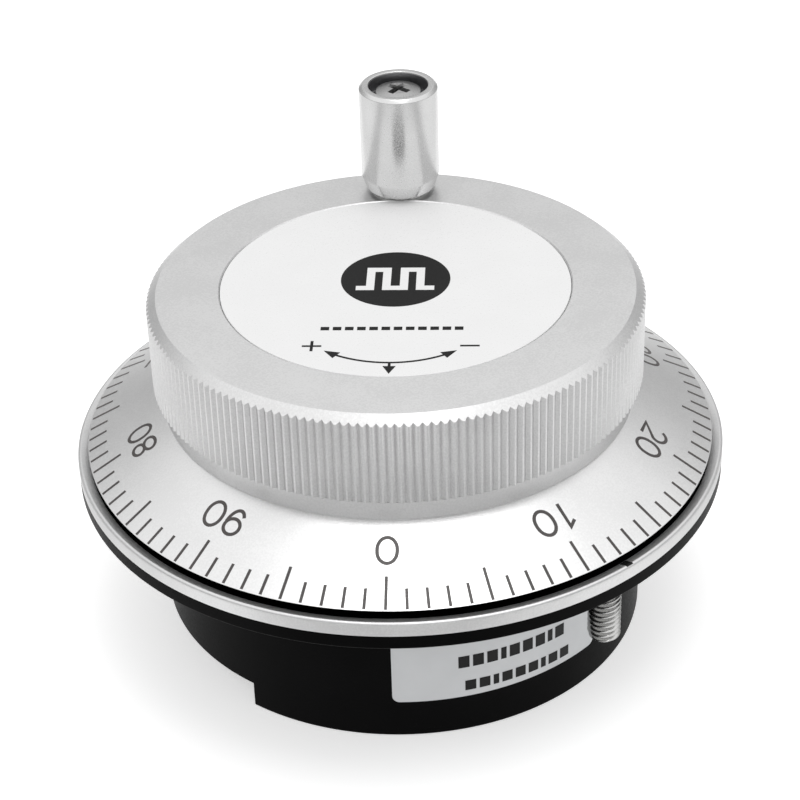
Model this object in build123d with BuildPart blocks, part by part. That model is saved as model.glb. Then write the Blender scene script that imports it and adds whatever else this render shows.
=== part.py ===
"""Panel-mount electronic handwheel.

A knurled knob with a graduated dial and a revolving crank handle turns a code disc inside a round
housing, which three studs hold behind a panel.

Millimetres.  The origin is on the shaft axis, in the plane of the flange's underside, the face that
meets the panel.  +Z points at the operator and +Y at the index mark.
"""
import os
from math import cos, radians, sin

from build123d import *

os.makedirs("parts", exist_ok=True)

# ---------------------------------------------------------------- driving dimensions
divisions = 100                 # clicks and graduations in one turn

# housing and panel side
flange_r = 40.0
flange_t = 1.8
body_r = 30.3
body_depth = 21.0               # flange underside to the back
recess_depth = 3.5              # terminal recess in the back
recess_edge_y = 6.2             # the recess takes the side of the back below this line
wall_t = 2.0
floor_t = 1.7
bezel_inner_r = 38.53
bezel_top_z = 3.7
bezel_inner_z = 3.2
index_w = 1.0
index_depth = 0.2
index_outer_r = 39.6
edge_break = 0.1                # small chamfer where two faces meet
press_gap = 0.1                 # radial clearance of a spigot in its bore

# panel studs, M4
stud_circle_r = 36.0
stud_r = 1.96
stud_shank_r = 2.15             # the plain shank that is pressed into the flange
stud_end_z = -8.8
stud_chamfer = 0.35
stud_head_r = 3.1
stud_head_t = 0.8
stud_angle = 90.0               # the first stud lies under the index mark

# bearings, 8 x 22 x 7
bearing_bore_r = 4.0
bearing_outer_r = 11.0
bearing_w = 7.0
ball_r = 1.98
ball_circle_r = 7.5
ball_count = 7
groove_gap = 0.12
outer_race_r = 9.0              # shoulders of the two races
inner_race_r = 6.0
cage_inner_r = 6.9
cage_outer_r = 8.1
cage_w = 5.2
upper_bearing_z = 3.3           # lower face of the upper bearing
lower_bearing_z = -7.9          # lower face of the lower bearing

# bearing carrier
carrier_r = 33.0
carrier_t = 1.6
carrier_spigot_z = -0.3
tube_r = 13.0
tube_top_z = 10.5
tube_end_z = -8.3
tube_shoulder_r = 9.5
column_circle_r = 24.5
column_r = 3.0
column_angle = 30.0
carrier_screw_r = 1.5
carrier_screw_head_r = 2.85
carrier_screw_len = 8.0         # in the column

# knob and dial
knob_r = 30.0
knob_bottom_z = 12.67
knob_top_z = 23.98
knob_chamfer_r = 1.15
knob_chamfer_h = 1.03
knob_wall_t = 3.1
knurl_count = 184
knurl_w = 0.8
knurl_depth = 0.33
insert_r = 21.1
insert_t = 1.0
dial_rim_r = 38.68
dial_rim_z = 4.33
dial_collar_r = 28.98
dial_collar_z = 9.78
dial_top_z = 12.5
dial_web_t = 1.5
dial_skin_t = 1.2               # measured along the axis
dial_screw_circle_r = 16.5
dial_screw_r = 1.5
dial_screw_depth = 6.0
hub_r = 12.0
spigot_r = 6.0
web_z = 20.0                    # underside of the knob's web
pillar_r = 3.2
boss_r = 4.2
boss_z = 14.7                   # lower end of the boss for the handle's screw
hub_screw_head_r = 3.6
hub_screw_head_t = 2.2
hub_screw_end_z = 9.2
tapped_r = 2.0
tapped_depth = 11.0

# crank handle
handle_circle_r = 25.0
handle_angle = 227.3            # with the dial as it stands at rest
handle_r = 5.0
handle_len = 13.98
handle_foot_r = 4.4
handle_foot_h = 1.8
handle_chamfer = 0.4
washer_t = 0.4
washer_r = 3.85
shoulder_r = 2.5
handle_bore_r = 2.56
end_float = 0.1
cup_r = 3.8
cup_depth = 1.86
handle_screw_head_r = 3.0
handle_screw_end_z = 15.2

# magnetic detent
detent_outer_r = 22.0
detent_inner_r = 14.0
detent_t = 1.6
tooth_depth = 0.7
tooth_gap = 0.7
pole_inner_r = 22.4
pole_outer_r = 26.2
pole_w = 8.0
pole_gap = 0.4                  # under the dial's web
magnet_t = 3.0
magnet_w = 6.4

# code disc and circuit board
code_disc_r = 20.0
code_disc_t = 0.4
code_disc_z = -10.3             # lower face
slot_circle_r = 18.4
slot_len = 1.8
slot_w = 0.55
code_neck_r = 5.0
code_flange_r = 9.0
code_plate_t = 0.8              # flange over the disc, and clamp under it
board_r = 27.5
board_t = 1.6
board_top_z = -12.3
standoff_circle_r = 23.0
standoff_r = 2.5
standoff_angles = (90.0, 235.0, 305.0)
board_screw_r = 1.0
board_screw_head_r = 1.9
board_screw_head_t = 1.3
board_screw_len = 2.6           # in the standoff
sensor_angle = 60.0
sensor_r = 19.5                 # centre of the sensor
sensor_len = 8.0
sensor_w = 7.0
sensor_h = 4.6
sensor_gap = 0.6                # over and under the disc

# terminals
terminal_count = 6
terminal_pitch = 7.6
terminal_y = -3.5
terminal_len = 12.0
terminal_w = 47.0
block_step = 1.5                # how far the block's flange laps over the window's edge
block_flange_t = 0.9
rib_t = 1.4
bar_w = 5.4
bar_len = 10.6
bar_t = 0.5
clamp_w = 5.6
clamp_t = 0.6
pin_y = 1.2
pin_w = 1.0
pin_t = 0.6
terminal_screw_r = 1.5
terminal_screw_head_r = 2.6
terminal_screw_head_t = 1.3

# rating label
label_start = 46.3
label_arc = 51.9
label_t = 0.12
label_low_z = -15.7
label_top_z = -3.8

# ---------------------------------------------------------------- derived levels
floor_z = -body_depth + recess_depth            # outer face of the recess floor
inner_floor_z = floor_z + floor_t
deep_floor_z = -body_depth + floor_t
cavity_r = body_r - wall_t
board_bottom_z = board_top_z - board_t
shaft_top_z = 18.2
screw_seat_z = 20.5                             # under the head of the knob's centre screw
insert_seat_z = knob_top_z - insert_t
web_bottom_z = dial_top_z - dial_web_t
detent_z = web_bottom_z - detent_t
handle_x = handle_circle_r * cos(radians(handle_angle))
handle_y = handle_circle_r * sin(radians(handle_angle))
sleeve_low_z = knob_top_z + washer_t + end_float
sleeve_top_z = sleeve_low_z + handle_len
cup_z = sleeve_top_z - cup_depth
block_face_z = floor_z - 1.0                    # the face that the terminal bars lie on
bar_low_z = block_face_z - bar_t
clamp_low_z = bar_low_z - clamp_t
plate_top_z = flange_t + carrier_t              # upper face of the bearing carrier's plate
lower_seat_z = lower_bearing_z + bearing_w
upper_bearing_top_z = upper_bearing_z + bearing_w
handle_axis = Axis((handle_x, handle_y, 0), (0, 0, 1))
handle_plane = Plane(origin=(handle_x, handle_y, 0), x_dir=(1, 0, 0), z_dir=(0, -1, 0))


def save(piece, name):
    """Label a finished piece and write its STEP file."""
    piece.part.label = name
    export_step(piece.part, f"parts/{name}.step")


def cross(length, width):
    """Draw a cross recess in the sketch at hand."""
    Rectangle(length, width)
    Rectangle(width, length)


def columns():
    """Places of the three columns that take the bearing carrier's screws."""
    return PolarLocations(column_circle_r, 3, start_angle=column_angle)


def studs():
    """Places of the three panel studs."""
    return PolarLocations(stud_circle_r, 3, start_angle=stud_angle)


def dial_screw_places():
    """Places of the three screws that hold the dial and the detent ring."""
    return PolarLocations(dial_screw_circle_r, 3)


def terminal_row(count):
    """Places of the terminals, or of the ribs between them, in a row along X."""
    return GridLocations(terminal_pitch, 1, count, 1)


def standoffs():
    """Places of the three standoffs that carry the circuit board."""
    return Locations(
        *[
            (standoff_circle_r * cos(radians(a)), standoff_circle_r * sin(radians(a)))
            for a in standoff_angles
        ]
    )


# ---------------------------------------------------------------- housing
with BuildPart() as housing:
    with BuildSketch(Plane.XY.offset(-body_depth)):
        Circle(body_r)
    extrude(amount=body_depth)
    chamfer(housing.edges().group_by(Axis.Z)[0], 0.4)
    with BuildSketch():
        Circle(flange_r)
    extrude(amount=flange_t)
    # the terminal recess takes one side of the back
    with BuildSketch(Plane.XY.offset(-body_depth)):
        with Locations((0, recess_edge_y - body_r - 1)):
            Rectangle(2 * body_r + 4, 2 * body_r + 2)
    extrude(amount=recess_depth, mode=Mode.SUBTRACT)
    # the inside, layer by layer, leaving the screw columns and the standoffs
    with BuildSketch(Plane.XY.offset(deep_floor_z)):
        Circle(cavity_r)
        with Locations((0, recess_edge_y + wall_t - body_r)):
            Rectangle(2 * body_r, 2 * body_r, mode=Mode.SUBTRACT)
        with columns():
            Circle(column_r, mode=Mode.SUBTRACT)
        with standoffs():
            Circle(standoff_r, mode=Mode.SUBTRACT)
    extrude(amount=inner_floor_z - deep_floor_z, mode=Mode.SUBTRACT)
    with BuildSketch(Plane.XY.offset(inner_floor_z)):
        Circle(cavity_r)
        with columns():
            Circle(column_r, mode=Mode.SUBTRACT)
        with standoffs():
            Circle(standoff_r, mode=Mode.SUBTRACT)
    extrude(amount=board_bottom_z - inner_floor_z, mode=Mode.SUBTRACT)
    with BuildSketch(Plane.XY.offset(board_bottom_z)):
        Circle(cavity_r)
        with columns():
            Circle(column_r, mode=Mode.SUBTRACT)
    extrude(amount=carrier_spigot_z - board_bottom_z, mode=Mode.SUBTRACT)
    with BuildSketch(Plane.XY.offset(carrier_spigot_z)):
        Circle(cavity_r)
    extrude(amount=flange_t - carrier_spigot_z, mode=Mode.SUBTRACT)
    # window for the terminal block
    with BuildSketch(Plane.XY.offset(floor_z)):
        with Locations((0, terminal_y)):
            Rectangle(terminal_w, terminal_len)
    extrude(amount=floor_t, mode=Mode.SUBTRACT)
    # screw holes in the columns and the standoffs
    with BuildSketch(Plane.XY.offset(carrier_spigot_z)):
        with columns():
            Circle(carrier_screw_r)
    extrude(amount=-carrier_screw_len - 1.0, mode=Mode.SUBTRACT)
    with BuildSketch(Plane.XY.offset(board_bottom_z)):
        with standoffs():
            Circle(board_screw_r)
    extrude(amount=-board_screw_len - 0.2, mode=Mode.SUBTRACT)
    # stud holes, with pockets for the studs' heads
    with BuildSketch():
        with studs():
            Circle(stud_shank_r)
    extrude(amount=flange_t, mode=Mode.SUBTRACT)
    with BuildSketch(Plane.XY.offset(flange_t - stud_head_t)):
        with studs():
            Circle(stud_head_r)
    extrude(amount=stud_head_t, mode=Mode.SUBTRACT)
save(housing, "housing")

# ---------------------------------------------------------------- bezel ring and its index mark
bezel_slope = (bezel_top_z - bezel_inner_z) / (flange_r - edge_break - bezel_inner_r)
index_outer_z = bezel_inner_z + bezel_slope * (index_outer_r - bezel_inner_r)

with BuildPart() as bezel_ring:
    with BuildSketch(Plane.XZ):
        with BuildLine():
            Polyline(
                (bezel_inner_r, flange_t),
                (flange_r, flange_t),
                (flange_r, bezel_top_z - edge_break),
                (flange_r - edge_break, bezel_top_z),
                (bezel_inner_r, bezel_inner_z),
                close=True,
            )
        make_face()
    revolve(axis=Axis.Z)
    with BuildSketch(Plane.YZ):
        with BuildLine():
            Polyline(
                (bezel_inner_r, bezel_inner_z - index_depth),
                (index_outer_r, index_outer_z - index_depth),
                (index_outer_r, index_outer_z + 1.0),
                (bezel_inner_r - 0.1, index_outer_z + 1.0),
                (bezel_inner_r - 0.1, bezel_inner_z - index_depth),
                close=True,
            )
        make_face()
    extrude(amount=index_w / 2, both=True, mode=Mode.SUBTRACT)
save(bezel_ring, "bezel_ring")

inlay_gap = 0.02                # paint to the walls of its groove
inlay_drop = 0.03               # paint below the ring's face

with BuildPart() as index_inlay:
    with BuildSketch(Plane.YZ):
        with BuildLine():
            Polyline(
                (bezel_inner_r + inlay_gap, bezel_inner_z - index_depth + inlay_gap),
                (index_outer_r, index_outer_z - index_depth + inlay_gap),
                (index_outer_r, index_outer_z - inlay_drop),
                (bezel_inner_r + inlay_gap, bezel_inner_z - inlay_drop),
                close=True,
            )
        make_face()
    extrude(amount=(index_w - inlay_gap) / 2, both=True)
save(index_inlay, "index_inlay")

# ---------------------------------------------------------------- panel studs
with BuildPart() as mounting_studs:
    with BuildSketch(Plane.XY.offset(stud_end_z)):
        with studs():
            Circle(stud_r)
    extrude(amount=-stud_end_z)
    chamfer(mounting_studs.edges().group_by(Axis.Z)[0], stud_chamfer)
    with BuildSketch():
        with studs():
            Circle(stud_shank_r)
    extrude(amount=flange_t - stud_head_t)
    with BuildSketch(Plane.XY.offset(flange_t - stud_head_t)):
        with studs():
            Circle(stud_head_r)
    extrude(amount=stud_head_t)
save(mounting_studs, "mounting_studs")

# ---------------------------------------------------------------- bearing carrier and its screws
with BuildPart() as bearing_carrier:
    with BuildSketch(Plane.XZ):
        with BuildLine():
            Polyline(
                (bearing_outer_r, tube_end_z),
                (tube_r, tube_end_z),
                (tube_r, carrier_spigot_z),
                (cavity_r - press_gap, carrier_spigot_z),
                (cavity_r - press_gap, flange_t),
                (carrier_r, flange_t),
                (carrier_r, plate_top_z),
                (tube_r, plate_top_z),
                (tube_r, tube_top_z),
                (bearing_outer_r, tube_top_z),
                (bearing_outer_r, upper_bearing_z),
                (tube_shoulder_r, upper_bearing_z),
                (tube_shoulder_r, lower_seat_z),
                (bearing_outer_r, lower_seat_z),
                close=True,
            )
        make_face()
    revolve(axis=Axis.Z)
    with Locations((0, 0, plate_top_z)):
        with columns():
            CounterSinkHole(carrier_screw_r + 0.1, carrier_screw_head_r + 0.15, counter_sink_angle=90)
save(bearing_carrier, "bearing_carrier")

head_top = plate_top_z - 0.1

with BuildPart() as carrier_screws:
    with BuildSketch(Plane.XY.offset(carrier_spigot_z - carrier_screw_len)):
        with columns():
            Circle(carrier_screw_r - 0.05)
    extrude(amount=head_top - carrier_spigot_z + carrier_screw_len)
    with BuildSketch(Plane.XY.offset(head_top)):
        with columns():
            Circle(carrier_screw_head_r)
    extrude(amount=carrier_screw_r - 0.1 - carrier_screw_head_r + 0.05, taper=45)
    with BuildSketch(Plane.XY.offset(head_top)):
        with columns():
            cross(3.2, 0.6)
    extrude(amount=-0.9, mode=Mode.SUBTRACT)
save(carrier_screws, "carrier_screws")


# ---------------------------------------------------------------- ball bearings
def ball_bearing(name, low_z):
    """Make one deep-groove bearing: outer race, inner race, balls and cage."""
    mid_z = low_z + bearing_w / 2
    groove_r = ball_r + groove_gap
    with BuildPart() as outer_race:
        with BuildSketch(Plane.XZ):
            with Locations(((outer_race_r + bearing_outer_r) / 2, mid_z)):
                Rectangle(bearing_outer_r - outer_race_r, bearing_w)
            with Locations((ball_circle_r, mid_z)):
                Circle(groove_r, mode=Mode.SUBTRACT)
        revolve(axis=Axis.Z)
    save(outer_race, f"{name}_outer_race")
    with BuildPart() as inner_race:
        with BuildSketch(Plane.XZ):
            with Locations(((bearing_bore_r + inner_race_r) / 2, mid_z)):
                Rectangle(inner_race_r - bearing_bore_r, bearing_w)
            with Locations((ball_circle_r, mid_z)):
                Circle(groove_r, mode=Mode.SUBTRACT)
        revolve(axis=Axis.Z)
    save(inner_race, f"{name}_inner_race")
    with BuildPart() as balls:
        with Locations((0, 0, mid_z)):
            with PolarLocations(ball_circle_r, ball_count):
                Sphere(ball_r)
    save(balls, f"{name}_balls")
    pocket_planes = [
        Plane(origin=(0, 0, mid_z), z_dir=(cos(radians(a)), sin(radians(a)), 0))
        for a in [i * 360 / ball_count for i in range(ball_count)]
    ]
    with BuildPart() as cage:
        with BuildSketch(Plane.XY.offset(mid_z - cage_w / 2)):
            Circle(cage_outer_r)
            Circle(cage_inner_r, mode=Mode.SUBTRACT)
        extrude(amount=cage_w)
        with BuildSketch(*pocket_planes):
            Circle(ball_r + 0.1)
        extrude(amount=bearing_outer_r, mode=Mode.SUBTRACT)
    save(cage, f"{name}_cage")


ball_bearing("upper", upper_bearing_z)
ball_bearing("lower", lower_bearing_z)

# ---------------------------------------------------------------- shaft and what is fixed to it
clip_t = 0.8
clip_r = 5.8
clip_low_z = lower_bearing_z - clip_t
groove_floor_r = 3.6
shaft_shoulder_r = 5.0
shaft_end_z = board_top_z + 0.7

with BuildPart() as shaft:
    with BuildSketch(Plane.XZ):
        with BuildLine():
            Polyline(
                (0, shaft_end_z),
                (bearing_bore_r, shaft_end_z),
                (bearing_bore_r, clip_low_z),
                (groove_floor_r, clip_low_z),
                (groove_floor_r, lower_bearing_z),
                (bearing_bore_r, lower_bearing_z),
                (bearing_bore_r, lower_seat_z),
                (shaft_shoulder_r, lower_seat_z),
                (shaft_shoulder_r, upper_bearing_z),
                (bearing_bore_r, upper_bearing_z),
                (bearing_bore_r, shaft_top_z),
                (tapped_r, shaft_top_z),
                (tapped_r, shaft_top_z - tapped_depth),
                (0, shaft_top_z - tapped_depth - tapped_r / 2),
                close=True,
            )
        make_face()
    revolve(axis=Axis.Z)
save(shaft, "shaft")

with BuildPart() as retaining_clip:
    with BuildSketch(Plane.XY.offset(clip_low_z)):
        Circle(clip_r)
        Circle(groove_floor_r, mode=Mode.SUBTRACT)
        with Locations((clip_r, 0)):
            Rectangle(2 * clip_r, 3.0, mode=Mode.SUBTRACT)
    extrude(amount=clip_t)
save(retaining_clip, "retaining_clip")

with BuildPart() as code_hub:
    with BuildSketch(Plane.XY.offset(code_disc_z - code_plate_t)):
        Circle(code_neck_r)
        Circle(bearing_bore_r, mode=Mode.SUBTRACT)
    extrude(amount=code_plate_t + code_disc_t)
    with BuildSketch(Plane.XY.offset(code_disc_z + code_disc_t)):
        Circle(code_flange_r)
        Circle(bearing_bore_r, mode=Mode.SUBTRACT)
    extrude(amount=code_plate_t)
save(code_hub, "code_hub")

with BuildPart() as code_disc:
    with BuildSketch(Plane.XY.offset(code_disc_z)):
        Circle(code_disc_r)
        Circle(code_neck_r, mode=Mode.SUBTRACT)
        with PolarLocations(slot_circle_r, divisions):
            Rectangle(slot_len, slot_w, mode=Mode.SUBTRACT)
    extrude(amount=code_disc_t)
save(code_disc, "code_disc")

with BuildPart() as disc_clamp:
    with BuildSketch(Plane.XY.offset(code_disc_z - code_plate_t)):
        Circle(code_flange_r - 0.5)
        Circle(code_neck_r, mode=Mode.SUBTRACT)
    extrude(amount=code_plate_t)
save(disc_clamp, "disc_clamp")

# ---------------------------------------------------------------- knob
root = 0.5                      # how far the pillars and the boss run into the web

with BuildPart() as knob:
    with BuildSketch(Plane.XZ):
        with BuildLine():
            Polyline(
                (bearing_bore_r, upper_bearing_top_z),
                (spigot_r, upper_bearing_top_z),
                (spigot_r, dial_top_z),
                (hub_r, dial_top_z),
                (hub_r, web_z),
                (knob_r - knob_wall_t, web_z),
                (knob_r - knob_wall_t, knob_bottom_z),
                (knob_r, knob_bottom_z),
                (knob_r, knob_top_z - knob_chamfer_h),
                (knob_r - knob_chamfer_r, knob_top_z),
                (insert_r + 0.05, knob_top_z),
                (insert_r + 0.05, insert_seat_z),
                (hub_screw_head_r + 0.6, insert_seat_z),
                (hub_screw_head_r + 0.6, screw_seat_z),
                (tapped_r + press_gap, screw_seat_z),
                (tapped_r + press_gap, shaft_top_z),
                (bearing_bore_r, shaft_top_z),
                close=True,
            )
        make_face()
    revolve(axis=Axis.Z)
    # pillars for the dial's screws, and the boss that takes the handle's screw
    with BuildSketch(Plane.XY.offset(dial_top_z)):
        with dial_screw_places():
            Circle(pillar_r)
    extrude(amount=web_z - dial_top_z + root)
    with BuildSketch(Plane.XY.offset(boss_z)):
        with Locations((handle_x, handle_y)):
            Circle(boss_r)
    extrude(amount=web_z - boss_z + root)
    with BuildSketch(Plane.XY.offset(boss_z)):
        with Locations((handle_x, handle_y)):
            Circle(tapped_r)
    extrude(amount=knob_top_z - boss_z, mode=Mode.SUBTRACT)
    with BuildSketch(Plane.XY.offset(dial_top_z)):
        with dial_screw_places():
            Circle(dial_screw_r)
    extrude(amount=dial_screw_depth, mode=Mode.SUBTRACT)
    # straight knurl: V grooves along the rim, which run out through the chamfer
    with BuildSketch(Plane.XY.offset(knob_bottom_z)):
        with PolarLocations(knob_r - knurl_depth, knurl_count):
            with BuildLine():
                Polyline(
                    (0, 0),
                    (2 * knurl_depth, knurl_w),
                    (2 * knurl_depth, -knurl_w),
                    close=True,
                )
            make_face()
    extrude(amount=knob_top_z - knob_bottom_z, mode=Mode.SUBTRACT)
save(knob, "knob")

# ---------------------------------------------------------------- dial
dial_slope = (dial_collar_z - dial_rim_z) / (dial_rim_r - dial_collar_r)
dial_bore_r = spigot_r + press_gap
dial_edge_t = 0.38
collar_inner_r = 27.4
skirt_r = dial_rim_r - 0.58
skirt_z = dial_rim_z + dial_slope * (dial_rim_r - skirt_r) - dial_skin_t

with BuildPart() as dial:
    with BuildSketch(Plane.XZ):
        with BuildLine():
            Polyline(
                (dial_rim_r, dial_rim_z),
                (dial_collar_r, dial_collar_z),
                (dial_collar_r, dial_top_z),
                (dial_bore_r, dial_top_z),
                (dial_bore_r, web_bottom_z),
                (collar_inner_r, web_bottom_z),
                (collar_inner_r, skirt_z + dial_slope * (skirt_r - collar_inner_r)),
                (skirt_r, skirt_z),
                (dial_rim_r, dial_rim_z - dial_edge_t),
                close=True,
            )
        make_face()
    revolve(axis=Axis.Z)
    with BuildSketch(Plane.XY.offset(web_bottom_z)):
        with dial_screw_places():
            Circle(dial_screw_r + press_gap)
    extrude(amount=dial_web_t, mode=Mode.SUBTRACT)
save(dial, "dial")

# ---------------------------------------------------------------- knob fittings
with BuildPart() as insert_plate:
    with BuildSketch(Plane.XY.offset(insert_seat_z)):
        Circle(insert_r)
    extrude(amount=insert_t - 0.03)
    chamfer(insert_plate.edges().group_by(Axis.Z)[-1], 0.12)
save(insert_plate, "insert_plate")

with BuildPart() as hub_screw:
    with BuildSketch(Plane.XY.offset(hub_screw_end_z)):
        Circle(tapped_r)
    extrude(amount=screw_seat_z - hub_screw_end_z)
    with BuildSketch(Plane.XY.offset(screw_seat_z)):
        Circle(hub_screw_head_r)
    extrude(amount=hub_screw_head_t)
    fillet(hub_screw.edges().group_by(Axis.Z)[-1], 0.8)
    with BuildSketch(Plane.XY.offset(screw_seat_z + hub_screw_head_t)):
        cross(4.0, 0.9)
    extrude(amount=-1.3, mode=Mode.SUBTRACT)
save(hub_screw, "hub_screw")

with BuildPart() as detent_ring:
    with BuildSketch(Plane.XY.offset(detent_z)):
        Circle(detent_outer_r)
        Circle(detent_inner_r, mode=Mode.SUBTRACT)
        with dial_screw_places():
            Circle(dial_screw_r + press_gap, mode=Mode.SUBTRACT)
        with PolarLocations(detent_outer_r, divisions, start_angle=180 / divisions):
            Rectangle(2 * tooth_depth, tooth_gap, mode=Mode.SUBTRACT)
    extrude(amount=detent_t)
save(detent_ring, "detent_ring")

dial_screw_head_t = 1.8

with BuildPart() as dial_screws:
    with BuildSketch(Plane.XY.offset(detent_z)):
        with dial_screw_places():
            Circle(dial_screw_r)
    extrude(amount=detent_t + dial_web_t + dial_screw_depth - 0.5)
    with BuildSketch(Plane.XY.offset(detent_z)):
        with dial_screw_places():
            Circle(2.75)
    extrude(amount=-dial_screw_head_t)
    with BuildSketch(Plane.XY.offset(detent_z - dial_screw_head_t)):
        with dial_screw_places():
            cross(3.0, 0.7)
    extrude(amount=1.0, mode=Mode.SUBTRACT)
save(dial_screws, "dial_screws")

# ---------------------------------------------------------------- magnetic detent, fixed half
pole_mid_r = (pole_inner_r + pole_outer_r) / 2
pole_t = pole_outer_r - pole_inner_r

with BuildPart() as detent_magnets:
    with BuildSketch(Plane.XY.offset(plate_top_z)):
        with PolarLocations(pole_mid_r + 0.2, 2):
            Rectangle(pole_t - 0.8, magnet_w)
    extrude(amount=magnet_t)
save(detent_magnets, "detent_magnets")

# each pole is a ring sector with teeth that face the detent ring's teeth across an air gap
with BuildPart() as detent_poles:
    with BuildSketch(Plane.XY.offset(plate_top_z + magnet_t)):
        Circle(pole_outer_r)
        Circle(pole_inner_r, mode=Mode.SUBTRACT)
        Rectangle(2 * flange_r, pole_w, mode=Mode.INTERSECT)
        with PolarLocations(pole_inner_r, divisions, start_angle=180 / divisions):
            Rectangle(2 * tooth_depth, tooth_gap, mode=Mode.SUBTRACT)
    extrude(amount=web_bottom_z - pole_gap - plate_top_z - magnet_t)
save(detent_poles, "detent_poles")

# ---------------------------------------------------------------- circuit board
notch_r = column_r + 0.4        # the board clears the carrier's columns

with BuildPart() as circuit_board:
    with BuildSketch(Plane.XY.offset(board_bottom_z)):
        Circle(board_r)
        with columns():
            Circle(notch_r, mode=Mode.SUBTRACT)
        with PolarLocations(column_circle_r + notch_r, 3, start_angle=column_angle):
            Rectangle(2 * notch_r, 2 * notch_r, mode=Mode.SUBTRACT)
        with standoffs():
            Circle(board_screw_r + press_gap, mode=Mode.SUBTRACT)
        with Locations((0, pin_y)):
            with terminal_row(terminal_count):
                Circle(0.75, mode=Mode.SUBTRACT)
    extrude(amount=board_t)
save(circuit_board, "circuit_board")

with BuildPart() as board_screws:
    with BuildSketch(Plane.XY.offset(board_bottom_z - board_screw_len)):
        with standoffs():
            Circle(board_screw_r)
    extrude(amount=board_t + board_screw_len)
    with BuildSketch(Plane.XY.offset(board_top_z)):
        with standoffs():
            Circle(board_screw_head_r)
    extrude(amount=board_screw_head_t)
    with BuildSketch(Plane.XY.offset(board_top_z + board_screw_head_t)):
        with standoffs():
            cross(2.2, 0.5)
    extrude(amount=-0.7, mode=Mode.SUBTRACT)
save(board_screws, "board_screws")

# the sensor straddles the edge of the code disc
sensor_plane = Plane.XY.rotated((0, 0, sensor_angle))

with BuildPart() as optical_sensor:
    with BuildSketch(sensor_plane.offset(board_top_z)):
        with Locations((sensor_r, 0)):
            Rectangle(sensor_len, sensor_w)
    extrude(amount=sensor_h)
    with BuildSketch(sensor_plane.offset(code_disc_z - sensor_gap)):
        with Locations((sensor_r - 1.5, 0)):
            Rectangle(sensor_len - 2.0, sensor_w + 1.0)
    extrude(amount=code_disc_t + 2 * sensor_gap, mode=Mode.SUBTRACT)
save(optical_sensor, "optical_sensor")

chip_place = (-11.0, 11.0)
pin_pitch = 1.27

with BuildPart() as line_driver_chip:
    with BuildSketch(Plane.XY.offset(board_top_z + 0.15)):
        with Locations(chip_place):
            Rectangle(10.0, 3.9)
    extrude(amount=1.1)
    with BuildSketch(Plane.XY.offset(board_top_z)):
        with Locations(chip_place):
            with GridLocations(pin_pitch, 5.4, 8, 2):
                Rectangle(0.42, 1.6)
    extrude(amount=0.25)
save(line_driver_chip, "line_driver_chip")

with BuildPart() as board_parts:
    with BuildSketch(Plane.XY.offset(board_top_z)):
        with Locations((9.0, -12.0)):
            with GridLocations(3.4, 2.6, 4, 3):
                Rectangle(2.0, 1.25)
    extrude(amount=0.6)
    with BuildSketch(Plane.XY.offset(board_top_z)):
        with Locations((-10.0, -12.0)):
            with GridLocations(5.0, 4.0, 2, 2):
                Rectangle(3.2, 1.6)
    extrude(amount=0.9)
save(board_parts, "board_parts")

with BuildPart() as capacitor:
    with BuildSketch(Plane.XY.offset(board_bottom_z)):
        with Locations((0, 15.0)):
            Circle(2.5)
    extrude(amount=-5.0)
    fillet(capacitor.edges().group_by(Axis.Z)[0], 0.4)
save(capacitor, "capacitor")

# ---------------------------------------------------------------- terminals
with BuildPart() as terminal_block:
    with BuildSketch(Plane.XY.offset(inner_floor_z)):
        with Locations((0, terminal_y)):
            Rectangle(terminal_w + 2 * block_step, terminal_len + 2 * block_step)
    extrude(amount=block_flange_t)
    with BuildSketch(Plane.XY.offset(block_face_z)):
        with Locations((0, terminal_y)):
            Rectangle(terminal_w, terminal_len)
    extrude(amount=inner_floor_z - block_face_z)
    with BuildSketch(Plane.XY.offset(-body_depth)):
        with Locations((0, terminal_y)):
            with terminal_row(terminal_count + 1):
                Rectangle(rib_t, terminal_len)
    extrude(amount=block_face_z + body_depth)
    with BuildSketch(Plane.XY.offset(block_face_z)):
        with Locations((0, terminal_y)):
            with terminal_row(terminal_count):
                Circle(terminal_screw_r)
        with Locations((0, pin_y)):
            with terminal_row(terminal_count):
                Rectangle(pin_w + press_gap, pin_t + press_gap)
    extrude(amount=inner_floor_z + block_flange_t - block_face_z, mode=Mode.SUBTRACT)
save(terminal_block, "terminal_block")

with BuildPart() as terminal_bars:
    with BuildSketch(Plane.XY.offset(bar_low_z)):
        with Locations((0, terminal_y + 0.2)):
            with terminal_row(terminal_count):
                Rectangle(bar_w, bar_len)
        with Locations((0, terminal_y)):
            with terminal_row(terminal_count):
                Circle(terminal_screw_r + press_gap, mode=Mode.SUBTRACT)
    extrude(amount=bar_t)
    with BuildSketch(Plane.XY.offset(bar_low_z)):
        with Locations((0, pin_y)):
            with terminal_row(terminal_count):
                Rectangle(pin_w, pin_t)
    extrude(amount=board_top_z + 0.2 - bar_low_z)
save(terminal_bars, "terminal_bars")

with BuildPart() as terminal_clamps:
    with BuildSketch(Plane.XY.offset(clamp_low_z)):
        with Locations((0, terminal_y)):
            with terminal_row(terminal_count):
                Rectangle(clamp_w, clamp_w)
                Circle(terminal_screw_r + press_gap, mode=Mode.SUBTRACT)
    extrude(amount=clamp_t)
save(terminal_clamps, "terminal_clamps")

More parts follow.
